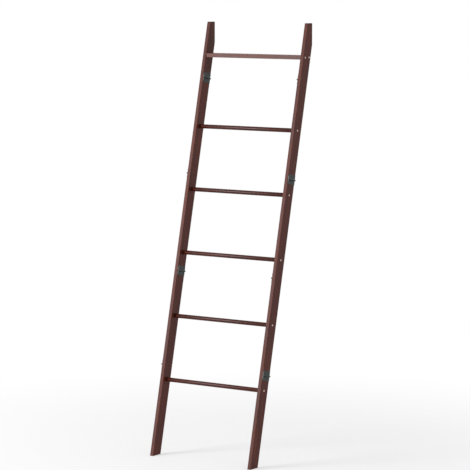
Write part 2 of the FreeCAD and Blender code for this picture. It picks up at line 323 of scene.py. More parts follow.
def stain_colour(tree, layers, block, edge, end_grain, painted_light_tone):
    ramp = add(tree, "ShaderNodeValToRGB", {"Fac": mix_of(tree, layers, STAIN_SHARES)})
    stops = ramp.color_ramp.elements
    stops.new(STAIN[1][0])
    for stop, (place, colour) in zip(stops, STAIN):
        stop.position = place
        stop.color = colour
    in_pores = calc(tree, "MULTIPLY", layers["pore"], PORE_COVER)
    colour = tint(tree, in_pores, ramp.outputs["Color"], PORE_COLOUR)
    by_edge = fade(tree, edge, *WEAR_WIDTH, 1.0, 0.0)
    wear = calc(tree, "MULTIPLY", by_edge, fade(tree, layers["rub"], *RUB_EDGE))
    colour = tint(tree, calc(tree, "MULTIPLY", wear, WEAR_COVER), colour, PALE_TIMBER)
    chance = add(tree, "ShaderNodeTexWhiteNoise", {"W": block}, noise_dimensions="1D").outputs["Value"]
    # The tone given to a finish scales its colour: for the shelf this is painted light, for the rungs
    # painted shade.
    value = calc(tree, "MULTIPLY_ADD", chance, TONE_SPREAD, painted_light_tone - TONE_SPREAD / 2)
    value = calc(tree, "MULTIPLY", value, calc(tree, "MULTIPLY_ADD", end_grain, -END_GRAIN_DARKER, 1.0))
    return add(tree, "ShaderNodeHueSaturation", {"Value": value, "Color": colour}).outputs["Color"], wear


# %% [markdown]
# The whole finish joins the parts. Its first argument after the name is the function that finds
# the stick's frame, so one finish serves rails, rungs and shelf. The lacquer is thin: a low gloss,
# a little rougher over pores and worn edges. In the bump the pores sink a hair, and the fibres and
# rings rise. Gloss is a plain number and goes straight into the shader's own socket, because an
# export can't follow a link to that socket.

# %% The whole wood finish
ROUGH_SHARES = (("patch", 0.12), ("pore", 0.12), ("wear", 0.10))
RELIEF_SHARES = (("fibre", 0.5), ("pore", -0.8), ("ring", 0.25))
RELIEF_STRENGTH, RELIEF_HEIGHT = 0.35, 0.12 * MM


def stained_wood(name, find_stick, painted_light_tone=1.0, gloss=0.16, roughness=0.37):
    material, tree, shader = new_material(name)
    stick, block, edge, end_grain = find_stick(tree)
    layers = grain_layers(tree, stick, block)
    colour, layers["wear"] = stain_colour(tree, layers, block, edge, end_grain, painted_light_tone)
    rough = mix_of(tree, layers, ROUGH_SHARES, roughness)
    height = mix_of(tree, layers, RELIEF_SHARES)
    fill_shader(tree, shader, colour, rough, height, RELIEF_STRENGTH, RELIEF_HEIGHT)
    shader.inputs["Specular IOR Level"].default_value = gloss
    return material


# %% [markdown]
# The rails and the shelf keep their engineering shapes, whose edges are already eased and whose
# screw holes are already drilled, and only get the finish. The shelf lies flat and gets a slightly
# thicker coat of lacquer, so it is a little glossier. Its colour is also painted lighter than the
# rails', as painted light.

# %% Finish the rails and the shelf
rail_wood = stained_wood("stained_rail_wood", rail_stick)
# The shelf's tone of 1.12 is painted light: the rail stain is painted lighter, as a lit copy of it.
shelf_wood_painted_light = stained_wood("shelf_wood_with_painted_light", shelf_stick, painted_light_tone=1.12, gloss=0.29)
rail_lengths = [piece for name, piece in nodes.items() if "_rail_length_" in name]
for piece in rail_lengths:
    piece.material_slots[0].material = rail_wood
nodes["shelf_board"].material_slots[0].material = shelf_wood_painted_light
print("lengths of rail finished:", len(rail_lengths))

# %% [markdown]
# ## Pieces from Geometry Nodes
# Screws and hinges could be modelled by hand once and copied, but then each new size is new work.
# A tree has one named input for each size instead, so that it serves every size of its piece. It
# ends in real geometry and its material, because an export drops instances.

# %% Helpers to build a tree
def new_tree(name, sizes):
    tree = bpy.data.node_groups.new(name, "GeometryNodeTree")
    tree.interface.new_socket("Geometry", in_out="INPUT", socket_type="NodeSocketGeometry")
    tree.interface.new_socket("Geometry", in_out="OUTPUT", socket_type="NodeSocketGeometry")
    for key, value in sizes.items():
        kind = "NodeSocketInt" if isinstance(value, int) else "NodeSocketFloat"
        tree.interface.new_socket(key, in_out="INPUT", socket_type=kind).default_value = value
    tree.interface.new_socket("Finish", in_out="INPUT", socket_type="NodeSocketMaterial")
    return tree, tree.nodes.new("NodeGroupInput").outputs


def finish_tree(tree, geometry, material):
    real = add(tree, "GeometryNodeRealizeInstances", {"Geometry": geometry})
    painted = add(tree, "GeometryNodeSetMaterial", {"Geometry": real.outputs[0], "Material": material})
    add(tree, "NodeGroupOutput", {0: painted.outputs[0]})
    return tree


# %% [markdown]
# `read_tree` runs a tree and returns a plain mesh. Long flat faces stay flat, because every edge
# sharper than a small angle is marked sharp, and round sides have facets finer than that angle.
# A Bevel modifier can ease edges first. It only takes edges sharper than its own larger angle.

# %% Helpers to read a tree
SHARP_ANGLE, EASED_ANGLE = math.radians(25), math.radians(40)
EASED_STEPS = 2


def put_in_scene(name, data):
    thing = bpy.data.objects.new(name, data)
    bpy.context.scene.collection.objects.link(thing)
    return thing


def read_tree(tree, name, values, eased=0.0, points=None):
    holder = put_in_scene(name + "_maker", points or bpy.data.meshes.new(name + "_start"))
    maker = holder.modifiers.new("maker", "NODES")
    maker.node_group = tree
    for item in tree.interface.items_tree:
        if item.in_out == "INPUT" and item.name in values:
            maker[item.identifier] = values[item.name]
    if eased:
        bevel = holder.modifiers.new("eased edges", "BEVEL")
        bevel.width = eased
        bevel.segments = EASED_STEPS
        bevel.limit_method = "ANGLE"
        bevel.angle_limit = EASED_ANGLE
    mesh = bpy.data.meshes.new_from_object(holder.evaluated_get(bpy.context.evaluated_depsgraph_get()))
    mesh.name = name
    bpy.data.objects.remove(holder)
    mesh.shade_smooth()
    mesh.set_sharp_from_angle(angle=SHARP_ANGLE)
    return mesh


# %% [markdown]
# A finished piece's object stays at the origin and its place goes into its mesh, as in the
# engineering model. A mirrored matrix would turn the mesh inside out, so its faces are turned back.

# %% Put a mesh in its place on the ladder
def place_piece(name, mesh, stands_for, matrix=Matrix.Identity(4)):
    mesh.transform(matrix)
    if matrix.determinant() < 0:
        mesh.flip_normals()
    piece = put_in_scene(name, mesh)
    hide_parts(stands_for)
    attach(piece, "root")


# %% [markdown]
# The trees below are built from a few shop steps. The first ones turn a rod or a cone, saw a block
# and move a piece. A round piece is really a many-sided one, and a table says how many sides each
# kind has: more where it is large and seen from near.

# %% Turn, saw and move
ROUND_SIDES = {"rung": 72, "knuckle": 40, "head": 40, "hole": 32, "pin": 32, "shank": 24}
QUARTER_TURN = math.pi / 2


def half(tree, value):
    return calc(tree, "MULTIPLY", value, 0.5)


def minus(tree, value):
    return calc(tree, "MULTIPLY", value, -1.0)


def moved(tree, geometry, place=(0, 0, 0), turn=(0, 0, 0), scale=(1, 1, 1)):
    inputs = {"Geometry": geometry, "Translation": place, "Rotation": turn, "Scale": scale}
    return add(tree, "GeometryNodeTransform", inputs).outputs[0]


def rod(tree, kind, radius, length):
    inputs = {"Vertices": ROUND_SIDES[kind], "Radius": radius, "Depth": length}
    return add(tree, "GeometryNodeMeshCylinder", inputs).outputs["Mesh"]


def cone(tree, kind, low_radius, high_radius, height, foot=0.0):
    radii = {"Radius Bottom": low_radius, "Radius Top": high_radius}
    inputs = {"Vertices": ROUND_SIDES[kind], "Depth": height, **radii}
    return moved(tree, add(tree, "GeometryNodeMeshCone", inputs).outputs["Mesh"], vector_of(tree, z=foot))


def block_of(tree, size, place=(0, 0, 0)):
    return moved(tree, add(tree, "GeometryNodeMeshCube", {"Size": size}).outputs["Mesh"], place)


# %% [markdown]
# The other steps weld pieces into one skin, cut with a tool, and set copies in a row. A plain Join
# would keep hidden faces where pieces overlap, and a tool could not cut through them cleanly. So
# welding and cutting are exact Booleans, and the results are closed solids with true edges.

# %% Weld, cut and repeat
def weld(tree, pieces):
    node = add(tree, "GeometryNodeMeshBoolean", operation="UNION", solver="EXACT")
    for piece in pieces:
        tree.links.new(piece, node.inputs["Mesh 2"])
    return node.outputs["Mesh"]


def cut(tree, body, tools):
    node = add(tree, "GeometryNodeMeshBoolean", {"Mesh 1": body}, operation="DIFFERENCE", solver="EXACT")
    for tool in tools:
        tree.links.new(tool, node.inputs["Mesh 2"])
    return node.outputs["Mesh"]


def row_of(tree, shape, count, first, step):
    line = add(tree, "GeometryNodeMeshLine", {"Count": count, "Start Location": first, "Offset": step})
    copies = add(tree, "GeometryNodeInstanceOnPoints", {"Points": line.outputs[0], "Instance": shape})
    return add(tree, "GeometryNodeRealizeInstances", {"Geometry": copies.outputs[0]}).outputs[0]


def at_both_ends(tree, shape, length):
    low_end = vector_of(tree, z=minus(tree, half(tree, length)))
    return row_of(tree, shape, 2, low_end, vector_of(tree, z=length))


# %% [markdown]
# ## Rungs
# A rung is a plain round dowel, 18 mm thick. Its ends sit 3 mm deep in round seats in the rails,
# and a screw enters each end through a pilot hole. A cylinder from the Add menu has no such holes
# and its edges are knife sharp. So a tree turns the dowel and drills it, and a bevel eases only
# the end edges, so the round side stays round. All five are alike: each rung is a copy, moved to
# its row. The rungs have a closer lacquer than the rails, and their wood colour is painted darker
# than the rails' as painted shade.

# %% The dowel
RUNG = {"Diameter": 18 * MM, "Length": 479.8 * MM, "Pilot Diameter": 4.1 * MM, "Pilot Depth": 27.5 * MM}
RUNG_EASED = 0.6 * MM


def dowel_tree():
    tree, size = new_tree("turned dowel", RUNG)
    stick = rod(tree, "rung", half(tree, size["Diameter"]), size["Length"])
    drill_length = calc(tree, "MULTIPLY", size["Pilot Depth"], 2.0)
    drill = rod(tree, "hole", half(tree, size["Pilot Diameter"]), drill_length)
    drilled = cut(tree, stick, [at_both_ends(tree, drill, size["Length"])])
    return finish_tree(tree, moved(tree, drilled, turn=(0, QUARTER_TURN, 0)), size["Finish"])


# The rungs' tone of 0.66 is painted shade: the rail stain is painted darker, as a shaded copy of it.
rung_wood_painted_shade = stained_wood("rung_wood_with_painted_shade", rung_stick, painted_light_tone=0.66, gloss=0.18, roughness=0.22)
dowel = read_tree(dowel_tree(), "round_rung", {"Finish": rung_wood_painted_shade}, eased=RUNG_EASED)
for number, row in enumerate(RUNG_ROWS, 1):
    place_piece(f"round_rung_{number}", dowel.copy(), f"rung_{number}", Matrix.Translation(row))
print("rungs:", len(RUNG_ROWS), "faces each:", len(dowel.polygons))

# %% [markdown]
# ## Metals
# The hinges are steel with a black-bronze coat, dark grey with a green cast. The rung and shelf
# screws are zinc plated, pale and slightly warm. A metal of one even colour looks like plastic, so
# each has clouds and specks in its colour and its roughness. A mask adds rubbed or dirty places,
# and it needs to know where a point lies on its own piece, wherever that piece ends up. So the
# trees below write each point's first place into an attribute, and the masks read it back.

# %% Metal finishes
CLOUD_SIZE, SPECKS_TO_A_CLOUD = 4.4 * MM, 8
CLOUD_DETAIL, SPECK_DETAIL = 3.0, 2.0
MOTTLE_SHARES = (("speck", 0.4), ("cloud", 0.6))
MOTTLE_EDGE, MARK_EDGE = (0.36, 0.66), (0.30, 0.60)
ROUGHNESS_SPREAD = 0.25
COAT_STRENGTH, COAT_HEIGHT = 0.25, 0.03 * MM


def own_place(tree):
    return split(tree, add(tree, "ShaderNodeAttribute", attribute_name="own_place").outputs["Vector"])


def coated_metal(name, dark, light, metallic, roughness, marks=(), cloud_size=CLOUD_SIZE):
    material, tree, shader = new_material(name)
    place = add(tree, "ShaderNodeTexCoord").outputs["Object"]
    cloud = cloudy(tree, place, 1 / cloud_size, CLOUD_DETAIL)
    speck = cloudy(tree, place, SPECKS_TO_A_CLOUD / cloud_size, SPECK_DETAIL)
    amount = mix_of(tree, {"cloud": cloud, "speck": speck}, MOTTLE_SHARES)
    colour = tint(tree, fade(tree, amount, *MOTTLE_EDGE), dark, light)
    rough = calc(tree, "MULTIPLY_ADD", cloud, ROUGHNESS_SPREAD, roughness - ROUGHNESS_SPREAD / 2)
    for find_mask, over, rougher in marks:
        mask = calc(tree, "MULTIPLY", find_mask(tree), fade(tree, speck, *MARK_EDGE))
        colour = tint(tree, mask, colour, over)
        rough = calc(tree, "MULTIPLY_ADD", mask, rougher, rough)
    fill_shader(tree, shader, colour, rough, speck, COAT_STRENGTH, COAT_HEIGHT)
    shader.inputs["Metallic"].default_value = metallic
    return material


# %% [markdown]
# ## Screws
# All screws have one shape at two sizes: a countersunk head with a cross recess, a plain neck, a
# threaded core and a point. A bump in the material could hint at the recess and the thread, but
# their outlines would stay smooth, so both are real shapes here. The head is a cone under a thin
# chamfer. The four wings of the recess narrow towards its floor, as the tip of a screwdriver does.
# The smaller sizes are shares of the head's or the shank's radius, so they follow the screw's size.

# %% The head of a screw
SCREW = {
    "Head Diameter": 8 * MM, "Shank Diameter": 4 * MM, "Length": 39.8 * MM, "Neck": 12 * MM,
    "Pitch": 1.8 * MM, "Seed": 3,
}
RIM, RECESS_SPAN, RECESS_SLOT, RECESS_DEPTH, RECESS_TAPER = 0.045, 1.12, 0.30, 0.44, 0.9


def screw_head(tree, head_r, shank_r):
    rim = calc(tree, "MULTIPLY", head_r, RIM)
    head_h = calc(tree, "SUBTRACT", head_r, shank_r)
    sink = cone(tree, "head", shank_r, head_r, calc(tree, "SUBTRACT", head_h, rim), minus(tree, head_h))
    chamfer = cone(tree, "head", head_r, calc(tree, "SUBTRACT", head_r, rim), rim, minus(tree, rim))
    shares = (RECESS_SPAN, RECESS_SLOT, 2 * RECESS_DEPTH)
    span, slot, height = (calc(tree, "MULTIPLY", head_r, share) for share in shares)
    wings = [block_of(tree, vector_of(tree, *sides, height)) for sides in ((span, slot), (slot, span))]
    x, y, z = split(tree, add(tree, "GeometryNodeInputPosition").outputs[0])
    narrow = calc(tree, "MULTIPLY_ADD", calc(tree, "DIVIDE", z, head_r), RECESS_TAPER, 1.0)
    tapered = vector_of(tree, calc(tree, "MULTIPLY", x, narrow), calc(tree, "MULTIPLY", y, narrow), z)
    recess = {"Geometry": weld(tree, wings), "Position": tapered}
    recess = add(tree, "GeometryNodeSetPosition", recess).outputs[0]
    return cut(tree, weld(tree, [sink, chamfer]), [recess]), head_h


# %% [markdown]
# The shank is a plain neck, a thinner core and a long point. The thread could be a stack of rings,
# but a real one climbs: it is a spiral swept with a three-sided profile and sunk into the core.

# %% The shank of a screw
CORE, POINT, CREST = 0.74, 3.0, 0.62
THREAD_SIDES, STEPS_IN_A_TURN = 3, 20


def screw_thread(tree, radius, length, foot, crest, pitch):
    turns = calc(tree, "DIVIDE", length, pitch)
    radii = {"Start Radius": radius, "End Radius": radius}
    path = {"Resolution": STEPS_IN_A_TURN, "Rotations": turns, "Height": length, **radii}
    spiral = add(tree, "GeometryNodeCurveSpiral", path).outputs[0]
    ridge = {"Resolution": THREAD_SIDES, "Radius": crest}
    profile = add(tree, "GeometryNodeCurvePrimitiveCircle", ridge).outputs[0]
    sweep = {"Curve": spiral, "Profile Curve": profile, "Fill Caps": True}
    return moved(tree, add(tree, "GeometryNodeCurveToMesh", sweep).outputs[0], vector_of(tree, z=foot))


def screw_shank(tree, size, shank_r, head_h):
    core_r = calc(tree, "MULTIPLY", shank_r, CORE)
    tip_h = calc(tree, "MULTIPLY", shank_r, POINT)
    neck_foot, tip_foot = minus(tree, size["Neck"]), minus(tree, size["Length"])
    core_foot = calc(tree, "ADD", tip_foot, tip_h)
    core_l = calc(tree, "SUBTRACT", neck_foot, core_foot)
    neck = cone(tree, "shank", shank_r, shank_r, calc(tree, "SUBTRACT", size["Neck"], head_h), neck_foot)
    core = cone(tree, "shank", core_r, core_r, core_l, core_foot)
    tip = cone(tree, "shank", 0.0, core_r, tip_h, tip_foot)
    crest = calc(tree, "MULTIPLY", calc(tree, "SUBTRACT", shank_r, core_r), CREST)
    path_r = calc(tree, "SUBTRACT", shank_r, crest)
    thread = screw_thread(tree, path_r, core_l, core_foot, crest, size["Pitch"])
    return [neck, core, tip, thread]


# %% [markdown]
# Head, shank and thread are only joined, because a Boolean on a thin spiral is slow and easily
# fails, and the faces that this leaves inside are never seen. The tree then puts a copy on each
# point that it is given. A point carries the direction that its head faces, and gets a seeded
# random turn about it, because no one stops a screwdriver at the same angle twice. A cross looks
# the same after a quarter turn, so the turn stays below that.

# %% The screw tree
def remember_place(tree, geometry):
    place = add(tree, "GeometryNodeInputPosition").outputs[0]
    inputs = {"Geometry": geometry, "Name": "own_place", "Value": place}
    return add(tree, "GeometryNodeStoreNamedAttribute", inputs, data_type="FLOAT_VECTOR").outputs[0]


def screw_tree():
    tree, size = new_tree("countersunk screw", SCREW)
    shank_r = half(tree, size["Shank Diameter"])
    head, head_h = screw_head(tree, half(tree, size["Head Diameter"]), shank_r)
    whole = add(tree, "GeometryNodeJoinGeometry")
    for part in [head, *screw_shank(tree, size, shank_r, head_h)]:
        tree.links.new(part, whole.inputs[0])
    screw = remember_place(tree, whole.outputs[0])
    facing = add(tree, "GeometryNodeInputNamedAttribute", {"Name": "faces"}, data_type="FLOAT_VECTOR")
    aim = add(tree, "FunctionNodeAlignRotationToVector", {"Vector": facing.outputs[0]}, axis="Z")
    chance = add(tree, "FunctionNodeRandomValue", {"Seed": size["Seed"]}, data_type="FLOAT").outputs[1]
    spin = vector_of(tree, z=calc(tree, "MULTIPLY", chance, QUARTER_TURN))
    turns = {"Rotation": aim.outputs[0], "Rotate By": spin}
    turn = add(tree, "FunctionNodeRotateRotation", turns, rotation_space="LOCAL").outputs[0]
    where = {"Points": size["Geometry"], "Instance": screw, "Rotation": turn}
    return finish_tree(tree, add(tree, "GeometryNodeInstanceOnPoints", where).outputs[0], size["Finish"])


# %% [markdown]
# The finishes of the screws come next. The recess of a zinc screw holds grey dust, and a bronze
# coated hinge screw is rubbed bright round its rim. A mark on a metal is a mask, the colour under
# that mask, and how much rougher the metal is there.

# %% Screw finishes
RECESS_FLOOR, RECESS_MOUTH, DUST_COVER = -1.4 * MM, -0.2 * MM, 0.75
RUBBED_FROM, RUBBED_TO, RUBBED_COVER = 2.5 * MM, 3.0 * MM, 0.7


def in_recess(tree):
    return fade(tree, own_place(tree)[2], RECESS_FLOOR, RECESS_MOUTH, DUST_COVER, 0.0)


def on_small_rim(tree):
    x, y, _ = own_place(tree)
    return fade(tree, reach(tree, vector_of(tree, x, y)), RUBBED_FROM, RUBBED_TO, 0.0, RUBBED_COVER)


BRONZE_DARK, BRONZE_LIGHT = (0.017, 0.023, 0.022, 1), (0.036, 0.047, 0.045, 1)
RUBBED_STEEL = (0.20, 0.19, 0.17, 1)
ZINC_DARK, ZINC_LIGHT = (0.64, 0.49, 0.44, 1), (0.86, 0.68, 0.62, 1)
DUST, GRIME = (0.10, 0.09, 0.08, 1), (0.008, 0.008, 0.008, 1)
DUST_ROUGHER, GRIME_ROUGHER, RUB_ROUGHER = 0.2, 0.3, -0.05
ZINC_CLOUD = 2.6 * MM
zinc = coated_metal("bright_zinc", ZINC_DARK, ZINC_LIGHT, metallic=1.0, roughness=0.34,
                    marks=[(in_recess, DUST, DUST_ROUGHER)], cloud_size=ZINC_CLOUD)
small_marks = [(on_small_rim, RUBBED_STEEL, RUB_ROUGHER), (in_recess, GRIME, GRIME_ROUGHER)]
bronze_screw = coated_metal("bronze_coated_screw", BRONZE_DARK, BRONZE_LIGHT, metallic=0.6,
                            roughness=0.36, marks=small_marks)
print("metals of the screws:", zinc.name, bronze_screw.name)

# %% [markdown]
# The screws' points come from the same sizes as the holes in the wood. Rung and shelf screws lie
# 0.2 mm below the rails' outer faces. Hinge screws lie level with their plates. Hinges 1 and 3 of
# each rail are on its outer face and hinges 2 and 4 on its inner face, so the rail folds like a
# zigzag for its box when the rungs are out.

# %% Points for the screws
SINK, LEAF_LIFT, LEAF_T = 0.2 * MM, 0.05 * MM, 1.4 * MM
HINGE_SCREW_OUT, HINGE_SCREW_SPAN = 12 * MM, 30 * MM
SHELF_SCREW_SPAN = 29 * MM
BOTH_WAYS = (Vector((1, 0, 0)), Vector((-1, 0, 0)))


def hinge_face(side, number):
    """The X of the face that a hinge lies on, and which way along X that face looks."""
    return (side * OUTER, side) if number % 2 else (side * INNER, -side)


def hinge_spots():
    for side in SIDES.values():
        for number, station in enumerate(HINGE_STATIONS, 1):
            face_x, look = hinge_face(side, number)
            for up in (HINGE_SCREW_OUT, -HINGE_SCREW_OUT):
                for over in (-HINGE_SCREW_SPAN / 2, HINGE_SCREW_SPAN / 2):
                    spot = Vector((face_x + look * (LEAF_LIFT + LEAF_T), RAIL_D / 2 + over, station + up))
                    yield leaned @ spot, Vector((look, 0, 0))


def rail_spots(rows):
    return [(Vector((way.x * (OUTER - SINK), row.y, row.z)), way) for row in rows for way in BOTH_WAYS]


def point_mesh(name, spots):
    mesh = bpy.data.meshes.new(name)
    mesh.from_pydata([place for place, _ in spots], [], [])
    faces = mesh.attributes.new("faces", "FLOAT_VECTOR", "POINT")
    faces.data.foreach_set("vector", [number for _, way in spots for number in way])
    return mesh


# %% [markdown]
# Each set of screws is one node in the engineering model, so each is one mesh here.

# %% Drive the screws
SMALL = {
    "Head Diameter": 6 * MM, "Shank Diameter": 3 * MM, "Length": 12.05 * MM, "Neck": 2.6 * MM,
    "Pitch": 1.3 * MM, "Seed": 5, "Finish": bronze_screw,
}
shelf_rows = [SHELF_MID + Vector((0, over * SHELF_SCREW_SPAN / 2, 0)) for over in (-1, 1)]
screws = screw_tree()
for name, spots, slot, sizes in (
    ("rung_screws", rail_spots(RUNG_ROWS), "bright_screws", {"Finish": zinc}),
    ("shelf_screws", rail_spots(shelf_rows), "bright_screws", {"Finish": zinc, "Seed": 8}),
    ("hinge_screws", list(hinge_spots()), "hinge_metal", SMALL),
):
    mesh = read_tree(screws, "set_of_" + name, sizes, points=point_mesh(name + "_points", spots))
    place_piece("set_of_" + name, mesh, name)
    print(name, len(spots), "screws,", len(mesh.polygons), "faces")

# %% [markdown]
# ## Hinges
# A butt hinge is two pressed plates, each rolled into knuckles that take turns along one pin. The
# tree builds one leaf on a face at X = 0, with the pin along Y and the plate going up Z. The plate
# is a rectangle with two rounded corners. A bevel would round all four, so it is a filleted outline
# swept through the thickness, squared off near the pin by a plain strip.

# %% The leaf's plate
HINGE = {
    "Length": 50 * MM, "Width": 20 * MM, "Thickness": LEAF_T, "Lift": LEAF_LIFT, "Corner": 1.5 * MM,
    "Pin Diameter": 3 * MM, "Play": 0.05 * MM, "Knuckle Lift": 0.1 * MM, "Knuckle Gap": 0.3 * MM,
    "Knuckles": 5, "First": 0, "Own": 3, "Inset": 1.5 * MM, "Screw Out": HINGE_SCREW_OUT,
    "Screw Span": HINGE_SCREW_SPAN, "Screw Head": 6 * MM,
}
CORNER_STEPS, STRIP_SHARE = 6, 0.3


def leaf_plate(tree, size, low_z, middle_x, middle_y):
    height = calc(tree, "SUBTRACT", size["Width"], low_z)
    sides = {"Width": height, "Height": size["Length"]}
    outline = add(tree, "GeometryNodeCurvePrimitiveQuadrilateral", sides).outputs[0]
    corners = {"Curve": outline, "Radius": size["Corner"], "Count": CORNER_STEPS}
    rounded = add(tree, "GeometryNodeFilletCurve", corners, mode="POLY").outputs[0]
    up = vector_of(tree, z=size["Thickness"])
    path = add(tree, "GeometryNodeCurvePrimitiveLine", {"End": up}).outputs[0]
    sweep = {"Curve": path, "Profile Curve": rounded, "Fill Caps": True}
    plate = add(tree, "GeometryNodeCurveToMesh", sweep).outputs[0]
    middle_z = half(tree, calc(tree, "ADD", low_z, size["Width"]))
    plate = moved(tree, plate, vector_of(tree, size["Lift"], middle_y, middle_z), (0, QUARTER_TURN, 0))
    strip_h = calc(tree, "MULTIPLY", height, STRIP_SHARE)
    strip_z = calc(tree, "MULTIPLY_ADD", strip_h, 0.5, low_z)
    strip = block_of(tree, vector_of(tree, size["Thickness"], size["Length"], strip_h),
                     vector_of(tree, middle_x, middle_y, strip_z))
    return [plate, strip]


# %% [markdown]
# The knuckles of a leaf are every other place in a row along the pin. So they are copies on a line,
# and its first place and its count are inputs: one tree makes both leaves. Each knuckle stands on
# a web, which laps a little into the plate.

# %% The leaf's knuckles
KNUCKLE_R = HINGE["Pin Diameter"] / 2 + HINGE["Play"] + LEAF_T
PIN_X = LEAF_LIFT + HINGE["Knuckle Lift"] + KNUCKLE_R
WEB_LAP = 1 * MM


def leaf_knuckles(tree, size, knuckle_r, pin_x, low_z, middle_x):
    gaps = calc(tree, "MULTIPLY", calc(tree, "SUBTRACT", size["Knuckles"], 1.0), size["Knuckle Gap"])
    length = calc(tree, "DIVIDE", calc(tree, "SUBTRACT", size["Length"], gaps), size["Knuckles"])
    pitch = calc(tree, "ADD", length, size["Knuckle Gap"])
    half_in = calc(tree, "MULTIPLY_ADD", length, 0.5, size["Inset"])
    first = calc(tree, "MULTIPLY_ADD", size["First"], pitch, half_in)
    web_h = calc(tree, "ADD", low_z, WEB_LAP)
    web = block_of(tree, vector_of(tree, size["Thickness"], length, web_h),
                   vector_of(tree, middle_x, 0.0, half(tree, web_h)))
    roll = rod(tree, "knuckle", knuckle_r, length)
    roll = moved(tree, roll, vector_of(tree, pin_x), (QUARTER_TURN, 0, 0))
    start, step = vector_of(tree, y=first), vector_of(tree, y=calc(tree, "MULTIPLY", pitch, 2.0))
    return [row_of(tree, shape, size["Own"], start, step) for shape in (web, roll)]


print("the pin's axis lies", round(PIN_X / MM, 2), "mm off the wood")

# %% [markdown]
# The cuts for the pin and for the screws come last. Each tool runs past the face that it cuts,
# because an exact Boolean is only sure of itself where no two faces lie in one plane. The screw
# holes are cones, and the plate is thinner than a screw head is deep, so the head reaches through
# it into the wood. The leaf remembers its points' places for the rubbed edges.

# %% The leaf tree
BORE_SHARE, RUN_PAST = 1.3, 0.5 * MM


def leaf_tools(tree, size, bore_r, pin_x, middle_y):
    bore = rod(tree, "knuckle", bore_r, calc(tree, "MULTIPLY", size["Length"], BORE_SHARE))
    bore = moved(tree, bore, vector_of(tree, pin_x, middle_y), (QUARTER_TURN, 0, 0))
    head_r = calc(tree, "MULTIPLY_ADD", size["Screw Head"], 0.5, size["Play"])
    deep = calc(tree, "MULTIPLY", size["Thickness"], 2.0)
    wide_r, long = (calc(tree, "ADD", value, RUN_PAST) for value in (head_r, deep))
    drill = cone(tree, "hole", calc(tree, "SUBTRACT", head_r, deep), wide_r, long)
    drill_x = calc(tree, "SUBTRACT", size["Lift"], size["Thickness"])
    drill = moved(tree, drill, vector_of(tree, drill_x), (0, QUARTER_TURN, 0))
    low_y = calc(tree, "MULTIPLY_ADD", size["Screw Span"], -0.5, middle_y)
    spots = vector_of(tree, y=low_y, z=size["Screw Out"]), vector_of(tree, y=size["Screw Span"])
    return [bore, row_of(tree, drill, 2, *spots)]


def leaf_tree():
    tree, size = new_tree("butt hinge leaf", HINGE)
    bore_r = calc(tree, "MULTIPLY_ADD", size["Pin Diameter"], 0.5, size["Play"])
    knuckle_r = calc(tree, "ADD", bore_r, size["Thickness"])
    pin_x = calc(tree, "ADD", calc(tree, "ADD", size["Lift"], size["Knuckle Lift"]), knuckle_r)
    low_z = calc(tree, "ADD", knuckle_r, size["Knuckle Gap"])
    middle_y = calc(tree, "MULTIPLY_ADD", size["Length"], 0.5, size["Inset"])
    middle_x = calc(tree, "MULTIPLY_ADD", size["Thickness"], 0.5, size["Lift"])
    pieces = leaf_plate(tree, size, low_z, middle_x, middle_y)
    pieces += leaf_knuckles(tree, size, knuckle_r, pin_x, low_z, middle_x)
    leaf = cut(tree, weld(tree, pieces), leaf_tools(tree, size, bore_r, pin_x, middle_y))
    return finish_tree(tree, remember_place(tree, leaf), size["Finish"])


# %% [markdown]
# The pin is a rod with a low domed head at each end, which keeps it in its knuckles. A head is a
# ball pressed flat.

# %% The pin tree
PIN = {"Diameter": 3 * MM, "Length": 50.1 * MM, "Head Diameter": 4.6 * MM, "Head Height": 0.5 * MM}
BALL = {"Segments": 32, "Rings": 12, "Radius": 1.0}


def pin_tree():
    tree, size = new_tree("headed hinge pin", PIN)
    shank = rod(tree, "pin", half(tree, size["Diameter"]), size["Length"])
    head_r = half(tree, size["Head Diameter"])
    ball = add(tree, "GeometryNodeMeshUVSphere", BALL).outputs["Mesh"]
    dome = moved(tree, ball, scale=vector_of(tree, head_r, head_r, size["Head Height"]))
    whole = weld(tree, [shank, at_both_ends(tree, dome, size["Length"])])
    return finish_tree(tree, moved(tree, whole, turn=(QUARTER_TURN, 0, 0)), size["Finish"])


# %% [markdown]
# The coat of a hinge is rubbed along the plates' rims, round the screws and on the crest of the
# knuckles, where hands and boxes touch it.

# %% The hinge finishes
RIM_RUB, RIM_RUB_COVER = (0.1 * MM, 0.7 * MM), 0.75
CREST_FROM, CREST_COVER = 0.6, 0.12


def on_plate_rim(tree):
    x, y, z = own_place(tree)
    across = apart(tree, y, RAIL_D / 2)
    from_end = calc(tree, "SUBTRACT", HINGE["Length"] / 2, across)
    rim = calc(tree, "MINIMUM", from_end, calc(tree, "SUBTRACT", HINGE["Width"], z))
    beside_screw = calc(tree, "SUBTRACT", across, HINGE_SCREW_SPAN / 2)
    from_screw = vector_of(tree, beside_screw, calc(tree, "SUBTRACT", z, HINGE_SCREW_OUT))
    from_head = calc(tree, "SUBTRACT", reach(tree, from_screw), HINGE["Screw Head"] / 2)
    rubbed = fade(tree, calc(tree, "MINIMUM", rim, from_head), *RIM_RUB, RIM_RUB_COVER, 0.0)
    crest = fade(tree, x, PIN_X + CREST_FROM * KNUCKLE_R, PIN_X + KNUCKLE_R, 0.0, CREST_COVER)
    return calc(tree, "MAXIMUM", rubbed, crest)


PIN_DARK, PIN_LIGHT = (0.018, 0.018, 0.018, 1), (0.045, 0.043, 0.040, 1)
PLATE_RUB_ROUGHER = -0.06
bronze = coated_metal("black_bronze_coat", BRONZE_DARK, BRONZE_LIGHT, metallic=0.55, roughness=0.42,
                      marks=[(on_plate_rim, RUBBED_STEEL, PLATE_RUB_ROUGHER)])
pin_steel = coated_metal("dark_pin_steel", PIN_DARK, PIN_LIGHT, metallic=0.7, roughness=0.36)
print("metals of the hinges:", bronze.name, pin_steel.name)

# %% [markdown]
# A hinge is made once and copied to its eight seats. On a face that looks the other way it is
# turned half round about the middle of the rail's depth. The lower leaf is the mirror of a leaf
# with the other knuckles.

